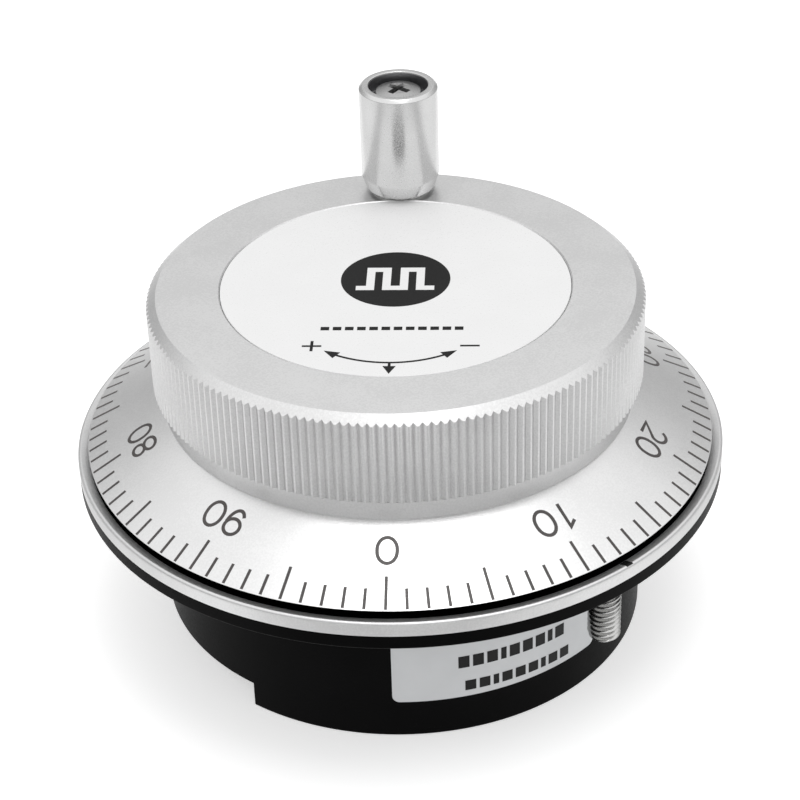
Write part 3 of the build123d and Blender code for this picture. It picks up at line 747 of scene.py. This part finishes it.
def on_insert(u, v, w):
    """A point on the insert: u to its right and v towards the handle, from its centre."""
    return (ACROSS * u + CRANK * v + Vector((0, 0, insert_top + w))) * MM


def on_insert_arc(centre_v):
    """The same plane in polar form: u is an angle in degrees from straight down, v the radius."""

    def place(u, v, w):
        a = math.radians(u - 90)
        return on_insert(v * math.cos(a), centre_v + v * math.sin(a), w)

    return place


def bar(bm, place, u0, u1, v0, v1):
    """A straight printed bar."""
    patch(bm, [(u0, v0, v1), (u1, v0, v1)], place, PRINT_ROOT, PRINT_T)


def arrow_head(bm, tip, direction, length, width):
    """A printed arrow head with its tip and direction in the insert's plane."""
    ahead = Vector(direction).normalized()
    aside = Vector((-ahead.y, ahead.x))

    def place(u, v, w):
        spot = Vector(tip) - ahead * u + aside * v
        return on_insert(spot.x, spot.y, w)

    patch(bm, [(0, -0.005, 0.005), (length, -width / 2, width / 2)], place, PRINT_ROOT, PRINT_T)


def insert_print():
    """Turning marks for the operator, and a plain pulse-train sign."""
    bm = bmesh.new()
    sign_v, sign_u, reach, half_stroke = -14.5, 9.1, 1.12, 0.17
    for u in (-sign_u, sign_u):
        bar(bm, on_insert, u - reach, u + reach, sign_v - half_stroke, sign_v + half_stroke)
    for v0, v1 in ((sign_v + half_stroke, sign_v + reach), (sign_v - reach, sign_v - half_stroke)):
        bar(bm, on_insert, -sign_u - half_stroke, -sign_u + half_stroke, v0, v1)
    # the double arrow: a thin arc with a head at each end and a small arrow down at its middle
    arc_v, arc_r, half_angle, line = -5.7, 12.45, 29.5, 0.32
    head_len, head_w, lean = 1.8, 1.45, 0.08
    stem_len, arrow_len, arrow_w = 0.6, 1.6, 1.5
    steps = [half_angle * (k / 16 - 1) for k in range(33)]
    patch(
        bm,
        [(a, arc_r - line / 2, arc_r + line / 2) for a in steps],
        on_insert_arc(arc_v),
        PRINT_ROOT,
        PRINT_T,
    )
    for side in (-1, 1):
        a = math.radians(side * half_angle - 90)
        heading = Vector((-math.sin(a + side * lean), math.cos(a + side * lean))) * side
        tip = Vector((arc_r * math.cos(a), arc_v + arc_r * math.sin(a))) + heading * head_len
        arrow_head(bm, tip, heading, head_len, head_w)
    stem_v = arc_v - arc_r - line / 2
    bar(bm, on_insert, -line / 2, line / 2, stem_v - stem_len, stem_v)
    arrow_head(bm, (0, stem_v - stem_len - arrow_len), (0, -1), arrow_len, arrow_w)
    # a plain disc, under the pulses, and a row of dashes below it
    disc = [(SIGN_R * math.cos(TAU * k / 96), SIGN_V + SIGN_R * math.sin(TAU * k / 96)) for k in range(96)]
    plate(bm, disc, on_insert, PRINT_ROOT, PRINT_T)
    dash_v, dash_h, dash_w, dash_pitch, dashes = -10.6, 0.75, 1.0, 1.42, 12
    for k in range(dashes):
        u = (k - (dashes - 1) / 2) * dash_pitch
        bar(bm, on_insert, u - dash_w / 2, u + dash_w / 2, dash_v - dash_h / 2, dash_v + dash_h / 2)
    return finish_mesh("insert_print", bm)


def pulse_print():
    """Two white square pulses on the disc."""
    bm = bmesh.new()
    swing, line = 2.2, 1.0
    edges = (-4.7, -3.0, -1.05, 1.05, 3.0, 4.7)
    points = []
    for k, (u0, u1) in enumerate(zip(edges, edges[1:])):
        level = SIGN_V + swing if k % 2 else SIGN_V - swing
        points += [(u0, level), (u1, level)]
    ribbon(bm, points, on_insert, line, 0.0, 2 * PRINT_T)
    return finish_mesh("pulse_print", bm)


dress(insert_print(), "black_paint", "knob_body")
dress(pulse_print(), "white_plastic", "knob_body")

# ------------------------------------------------------------------ dial
slope = (collar_z - dial_rim_z) / (dial_r - collar_r)
slope_angle = math.atan(slope)
collar_top = dial_top - 0.32     # a shallow neck leaves a dark line under the knob
neck_r = collar_r - 0.7
skirt_r = dial_r - 0.8
skirt_z = dial_rim_z + slope * (dial_r - skirt_r) - 0.9

dial = lathe(
    "dial_cone",
    [
        (dial_r, dial_rim_z, 0.03),
        (collar_r + 0.12, collar_z - 0.12 * slope),
        (collar_r - 0.08, collar_z - 0.03),
        (collar_r - 0.08, collar_z + 0.07),
        (collar_r, collar_z + 0.15),
        (collar_r, collar_top, 0.08),
        (neck_r, collar_top),
        (neck_r, dial_top),
        (dial_bore_r, dial_top),
        (dial_bore_r, web_low),
        (web_r, web_low),
        (web_r, skirt_z + slope * (skirt_r - web_r)),
        (skirt_r, skirt_z),
        (dial_r - 0.05, dial_rim_z - 0.05),
    ],
    count=360,
)
level_normals(dial)
dress(dial, "dial_aluminium", "knob_body", replaces=["dial"])


def on_cone(angle):
    """Places a point on the dial's cone: u sideways, v outwards down the slope from radius 0, w out of it."""
    start = math.radians(angle)

    def place(u, v, w):
        apex = math.hypot(u, v)
        turn = math.atan2(u, v) / math.cos(slope_angle)
        r = apex * math.cos(slope_angle)
        z = dial_rim_z + (dial_r - r) * slope
        r += w * math.sin(slope_angle)
        z += w * math.cos(slope_angle)
        return Vector((r * math.cos(start - turn), r * math.sin(start - turn), z)) * MM

    return place


def along_cone(r):
    """The distance down the cone's developed face for a radius."""
    return r / math.cos(slope_angle)


def dial_print():
    """A hundred graduations, with longer ones at each five."""
    bm = bmesh.new()
    for k in range(divisions):
        start_r = short_tick_r if k % 5 else long_tick_r
        place = on_cone(zero_angle + k * 360 / divisions)
        inside, outside = along_cone(start_r), along_cone(tick_end_r)
        samples = [(u, inside, outside) for u in (-tick_half_w, tick_half_w)]
        patch(bm, samples, place, PRINT_ROOT, PRINT_T)
    return finish_mesh("dial_graduations", bm)


def arc(cx, cy, rx, ry, start, end, steps=14):
    """Points of an elliptic arc. Angles are in degrees."""
    angles = [math.radians(start + (end - start) * k / steps) for k in range(steps + 1)]
    return [(cx + rx * math.cos(t), cy + ry * math.sin(t)) for t in angles]


# centre lines of the digits in a cell 1 wide and 1.38 high, each a list of strokes
DIGITS = {
    "0": [arc(0, 0.06, 0.5, 0.63, 0, 180) + arc(0, -0.06, 0.5, 0.63, 180, 360) + [(0.5, 0.06)]],
    "1": [[(-0.26, 0.40), (0.14, 0.69), (0.14, -0.69)]],
    "2": [arc(0, 0.25, 0.46, 0.44, 165, -35) + [(-0.46, -0.69), (0.48, -0.69)]],
    "3": [
        arc(0, 0.35, 0.42, 0.34, 160, -90, 12),
        arc(0, -0.34, 0.46, 0.35, 90, -160, 14),
    ],
    "4": [[(0.24, -0.69), (0.24, 0.69), (-0.50, -0.30), (0.52, -0.30)]],
    "5": [[(0.42, 0.69), (-0.32, 0.69), (-0.40, 0.02)] + arc(0, -0.23, 0.46, 0.46, 140, -150, 16)],
    "6": [arc(0, -0.25, 0.46, 0.44, 0, 360, 26), arc(0, -0.10, 0.46, 0.79, 180, 40, 14)],
    "7": [[(-0.48, 0.69), (0.48, 0.69), (-0.12, -0.69)]],
    "8": [arc(0, 0.35, 0.40, 0.34, -90, 270, 24), arc(0, -0.34, 0.47, 0.35, 90, 450, 26)],
    "9": [arc(0, 0.25, 0.46, 0.44, 0, 360, 26), arc(0, 0.10, 0.46, 0.79, 0, -140, 14)],
}


def dial_numbers():
    """The numbers 0 to 90, with their tops outwards, laid on the cone."""
    bm = bmesh.new()
    cell_w, cell_h, spacing, stroke, middle_r, numbers = 2.27, 2.3, 3.0, 0.42, 32.25, 10
    for k in range(numbers):
        text = str(k * 10)
        place = on_cone(zero_angle + k * 360 / numbers)
        for i, character in enumerate(text):
            shift = (i - (len(text) - 1) / 2) * spacing

            def on_cell(u, v, w, shift=shift):
                return place(shift + u, along_cone(middle_r) + v, w)

            for line in DIGITS[character]:
                ribbon(bm, [(x * cell_w, y * cell_h) for x, y in line], on_cell, stroke, PRINT_ROOT, PRINT_T)
    return finish_mesh("dial_numbers", bm)


dress(dial_print(), "dial_ink", "knob_body")
dress(dial_numbers(), "dial_ink", "knob_body")

# ------------------------------------------------------------------ bezel ring and index
# its top slopes gently, and rolls over a bright edge with a fine groove under it
edge_r = 0.34
side_groove_z = bezel_top - edge_r - 0.10
side_groove = 0.07
bezel_profile = rounded(
    [
        (bezel_inner_r, flange_top),
        (flange_r, flange_top, 0.04),
        (flange_r, side_groove_z - side_groove),
        (flange_r - side_groove, side_groove_z),
        (flange_r, side_groove_z + side_groove),
        (flange_r, bezel_top, edge_r),
        (bezel_inner_r, bezel_inner_z, 0.08),
    ],
    steps=8,
)
bezel = spin("bezel", lambda i: (TAU * i / 360, bezel_profile), 360)
level_normals(bezel)
dress(bezel, "satin_aluminium", "housing_body", replaces=["bezel_ring"])


def index_print():
    """The index mark: a black line filled into the ring's slope, and run out over its rounded edge."""
    bm = bmesh.new()
    rise = (bezel_top - bezel_inner_z) / (flange_r - bezel_inner_r)
    start = (bezel_inner_r + 0.1, bezel_inner_z + 0.1 * rise)
    crest = max(z for r, z in bezel_profile)
    line = [start] + sorted(p for p in bezel_profile if p[1] > crest - 0.1)

    def place(u, v, w):
        return Vector((v, line[u][0], line[u][1] + w)) * MM

    patch(bm, [(k, -index_w / 2, index_w / 2) for k in range(len(line))], place, index_root, index_t)
    return finish_mesh("index_mark", bm)


dress(index_print(), "black_paint", "housing_body", replaces=["index_inlay"])


# ------------------------------------------------------------------ housing
def polar(radius, angle):
    """A point on a circle about the shaft axis, in millimetres."""
    return (radius * math.cos(math.radians(angle)), radius * math.sin(math.radians(angle)))


def make_housing():
    """The moulded case: flange, round body, stepped back and hollow inside."""
    cavity_r = body_r - wall_t
    far = 50                    # beyond the case on every side
    case = lathe(
        "case",
        [
            (0, back_z),
            (body_r, back_z, 0.35),
            (body_r, 0.0, 0.25),
            (flange_r, 0.0, 0.25),
            (flange_r, flange_top, 0.05),
            (0, flange_top),
        ],
        count=240,
    )
    recess = block("recess", (-far, -far, back_z - 5), (far, recess_edge_y, recess_z))
    combine(case, [recess], "DIFFERENCE")
    ease_edges(case, 0.22, angle=50)
    inside = rod("inside", cavity_r, recess_z + floor_t, flange_top + 5, count=120)
    deep = rod("deep", cavity_r, back_z + floor_t, recess_z + floor_t + 1, count=120)
    shelf = block("shelf", (-far, -far, back_z - 5), (far, recess_edge_y + wall_t, recess_z + 10))
    combine(deep, [shelf], "DIFFERENCE")
    combine(inside, [deep], "UNION")
    columns = [
        rod("column", column_r, back_z + 1, column_top, polar(column_circle_r, a)) for a in column_angles
    ]
    standoffs = [
        rod("standoff", standoff_r, back_z + 1, standoff_top, polar(standoff_circle_r, a))
        for a in standoff_angles
    ]
    combine(inside, columns + standoffs, "DIFFERENCE")
    head_top = flange_top - stud_skin
    window = block(
        "window",
        (-window_half_x, terminal_y - window_half_y, recess_z - 5),
        (window_half_x, terminal_y + window_half_y, recess_z + 5),
    )
    heads = [rod("head", stud_head_r, stud_head_low, head_top, polar(stud_circle_r, a)) for a in stud_angles]
    combine(case, [inside, window] + heads, "DIFFERENCE")
    smooth(case, 35.0)
    level_normals(case)
    return case


dress(make_housing(), "black_plastic", "housing_body", replaces=["housing"])


# ------------------------------------------------------------------ studs
def stud(bm, angle):
    """One threaded stud: the surface follows the helix, and the end is chamfered below the root."""
    x, y = polar(stud_circle_r, angle)
    around, per_pitch = 48, 10
    neck_z = 0.95
    end_r = thread_root_r - 0.1
    turns = int((neck_z - stud_low) / thread_pitch) + 3
    profile = (0.0, 0.16, 0.40, 0.64, 0.88, 1.0, 0.88, 0.64, 0.40, 0.16)

    def radius(step, z):
        r = thread_root_r + (stud_r - thread_root_r) * profile[step % per_pitch]
        return min(r, end_r + (z - stud_low) * 1.1, end_r + (neck_z - z) * 1.6)

    columns = []
    for i in range(around + 1):
        a = TAU * i / around
        points = [(0.0, stud_low)]
        for step in range(-per_pitch, turns * per_pitch):
            z = stud_low + thread_pitch * (step / per_pitch + i / around)
            z = min(max(z, stud_low), neck_z)
            points.append((max(radius(step, z), end_r), z))
        points.append((0.0, neck_z))
        columns.append(
            [
                bm.verts.new(((x + r * math.cos(a)) * MM, (y + r * math.sin(a)) * MM, z * MM))
                for r, z in points
            ]
        )
    for here, there in zip(columns, columns[1:]):
        for k in range(len(here) - 1):
            bm.faces.new((here[k], there[k], there[k + 1], here[k + 1]))


def make_studs():
    """The three panel studs, with the heads that hold them in the flange."""
    bm = bmesh.new()
    for angle in stud_angles:
        stud(bm, angle)
    studs = finish_mesh("panel_studs", bm, 60.0)
    head_top = flange_top - stud_skin
    heads = [
        lathe(
            "head",
            [(0, stud_head_low), (stud_head_r, stud_head_low), (stud_head_r, head_top, 0.15), (0, head_top)],
            polar(stud_circle_r, a),
            48,
        )
        for a in stud_angles
    ]
    joined = bmesh.new()
    joined.from_mesh(studs.data)
    for head in heads:
        joined.from_mesh(head.data)
        bpy.data.objects.remove(head)
    bpy.data.objects.remove(studs)
    return finish_mesh("threaded_studs", joined, 40.0)


dress(make_studs(), "bright_steel", "housing_body", replaces=["mounting_studs"])


# ------------------------------------------------------------------ rating label
def on_body(u, v, w):
    """A point on the round body: u along the arc from the label's start, v the height, w out of it."""
    a = math.radians(label_start) + u / body_r
    return Vector(((body_r + w) * math.cos(a), (body_r + w) * math.sin(a), v)) * MM


def make_label():
    """A blank film label with rounded corners."""
    bm = bmesh.new()
    length = body_r * math.radians(label_arc)
    corner_r, steps = 0.9, 6
    ends = [corner_r * (1 - math.cos(math.pi / 2 * k / steps)) for k in range(steps + 1)]
    middle = [corner_r + (length - 2 * corner_r) * k / 24 for k in range(1, 24)]
    samples = []
    for u in ends + middle + [length - e for e in reversed(ends)]:
        from_end = min(u, length - u)
        inset = 0.0
        if from_end < corner_r:
            inset = corner_r - math.sqrt(max(0.0, corner_r**2 - (corner_r - from_end) ** 2))
        samples.append((u, label_low + inset, label_top - inset))
    patch(bm, samples, on_body, 0.0, label_t)
    return finish_mesh("label_plate", bm)


def make_label_print():
    """Two rows of plain dashes, in place of any lettering."""
    bm = bmesh.new()
    wide, narrow, gap = 1.35, 0.7, 0.42
    # each row: its height on the body, the dashes' height, where it starts, and the dashes' lengths
    rows = (
        (-10.5, 1.7, 7.9, (wide, wide, wide, narrow, wide, wide, wide, narrow, wide)),
        (-14.1, 1.45, 8.7, (wide, wide, narrow, wide, wide, wide, narrow, wide, wide)),
    )
    for v, height, start, dashes in rows:
        u = start
        for dash in dashes:
            steps = [(u + dash * k / 4, v - height / 2, v + height / 2) for k in range(5)]
            patch(bm, steps, on_body, label_t - 0.01, label_t + PRINT_T)
            u += dash + gap
    return finish_mesh("label_print", bm)


dress(make_label(), "label_film", "housing_body", replaces=["rating_label"])
dress(make_label_print(), "black_paint", "housing_body")


# ------------------------------------------------------------------ handle
CROSS_TURN = 12.0               # how the screw's recess happens to stand
CROSS_DEPTH = 1.3
CROSS_REACH = 2.0
CROSS_W = 1.0


def cross_cutters(x, y, top):
    """Two tapering blades that cut a cross recess into a screw's head."""
    blades = []
    for turn in (CROSS_TURN, 90 + CROSS_TURN):
        bm = bmesh.new()
        bmesh.ops.create_cube(bm, size=1.0)
        for v in bm.verts:
            deep = v.co.z < 0
            along = CROSS_REACH * (0.45 if deep else 1.0) * (1 if v.co.x > 0 else -1)
            aside = CROSS_W / 2 * (0.6 if deep else 1.0) * (1 if v.co.y > 0 else -1)
            spot = Matrix.Rotation(math.radians(turn), 2) @ Vector((along, aside))
            v.co = Vector((x + spot.x, y + spot.y, top - CROSS_DEPTH if deep else top + 0.5)) * MM
        blades.append(finish_mesh("blade", bm))
    return blades


head_low = sleeve_top - cup_depth + 0.1

sleeve = lathe(
    "crank_sleeve",
    [
        (sleeve_bore_r, sleeve_low),
        (foot_r, sleeve_low, 0.12),
        (handle_r, sleeve_low + foot_h, 1.2),
        (handle_r, sleeve_top - 0.4, 0.12),
        (handle_r - 0.4, sleeve_top, 0.10),
        (cup_r, sleeve_top, 0.10),
        (cup_r, sleeve_top - cup_depth, 0.12),
        (sleeve_bore_r, sleeve_top - cup_depth),
    ],
    HANDLE_AXIS,
    count=128,
)
level_normals(sleeve)
dress(sleeve, "handle_chrome", "handle_body", replaces=["handle_sleeve"])

# the turned inside of the cup is lined with dark steel: painted shade in the cup's hollow
cup_skin = 0.03
cup_root = 0.02
cup_floor = sleeve_top - cup_depth
lining_top = sleeve_top - 0.2
lining_bore_r = 2.6
cup_shade_lining = lathe(
    "crank_cup_shade",
    [
        (cup_r - cup_skin, lining_top),
        (cup_r - cup_skin, cup_floor + cup_skin),
        (lining_bore_r, cup_floor + cup_skin),
        (lining_bore_r, cup_floor - cup_root),
        (cup_r + cup_root, cup_floor - cup_root),
        (cup_r + cup_root, lining_top),
    ],
    HANDLE_AXIS,
    count=96,
)
dress(cup_shade_lining, "soft_iron", "handle_body")

handle_screw = lathe(
    "crank_screw",
    [
        (0, screw_low),
        (thread_r, screw_low, 0.2),
        (thread_r, knob_top),
        (shoulder_r, knob_top),
        (shoulder_r, head_low),
        (screw_head_r, head_low, 0.12),
        (screw_head_r, screw_top - 0.35, 0.3),
        (1.6, screw_top - 0.06, 1.2),
        (0, screw_top),
    ],
    HANDLE_AXIS,
    count=72,
)
combine(handle_screw, cross_cutters(handle_x, handle_y, screw_top), "DIFFERENCE")
smooth(handle_screw, 35.0)
level_normals(handle_screw)
dress(handle_screw, "screw_steel", "knob_body", ["handle_screw"])

# the bottom of the cross recess is in deep shade
shade_reach = 1.5
shade_half_w = 0.36
shade_low = -1.1
shade_high = -0.45
recess_bottom = bmesh.new()
for turn in (0, 90):
    heading = Matrix.Rotation(math.radians(turn + CROSS_TURN), 2)

    def in_recess(u, v, w, heading=heading):
        spot = heading @ Vector((u, v))
        return Vector((handle_x + spot.x, handle_y + spot.y, screw_top + w)) * MM

    samples = [(u, -shade_half_w, shade_half_w) for u in (-shade_reach, shade_reach)]
    patch(recess_bottom, samples, in_recess, shade_low, shade_high)
dress(finish_mesh("crank_recess", recess_bottom), "black_paint", "knob_body")

handle_washer = lathe(
    "crank_washer",
    [
        (washer_bore_r, knob_top),
        (washer_r, knob_top, 0.08),
        (washer_r, knob_top + washer_t, 0.12),
        (washer_bore_r, knob_top + washer_t),
    ],
    HANDLE_AXIS,
    count=72,
)
level_normals(handle_washer)
dress(handle_washer, "bright_steel", "knob_body", replaces=["handle_washer"])

# ------------------------------------------------------------------ CAD nodes that stay
CAD_LOOKS = {
    "bearing_carrier": "cast_alloy",
    "carrier_screws": "bright_steel",
    "upper_outer_race": "bearing_steel",
    "lower_outer_race": "bearing_steel",
    "upper_inner_race": "bearing_steel",
    "lower_inner_race": "bearing_steel",
    "upper_balls": "bearing_steel",
    "lower_balls": "bearing_steel",
    "upper_cage": "brass",
    "lower_cage": "brass",
    "detent_magnets": "magnet",
    "detent_poles": "soft_iron",
    "detent_ring": "soft_iron",
    "circuit_board": "board_green",
    "board_screws": "bright_steel",
    "optical_sensor": "black_gloss_plastic",
    "line_driver_chip": "black_gloss_plastic",
    "board_parts": "ceramic",
    "capacitor": "capacitor_sleeve",
    "terminal_block": "black_plastic",
    "terminal_bars": "brass",
    "terminal_clamps": "bright_steel",
    "terminal_screws": "bright_steel",
    "shaft": "bearing_steel",
    "hub_screw": "bright_steel",
    "dial_screws": "bright_steel",
    "code_hub": "brass",
    "code_disc": "code_disc_film",
    "disc_clamp": "brass",
    "retaining_clip": "bearing_steel",
}
for node, look in CAD_LOOKS.items():
    for slot in nodes[node].material_slots:
        slot.material = MATERIALS[look]
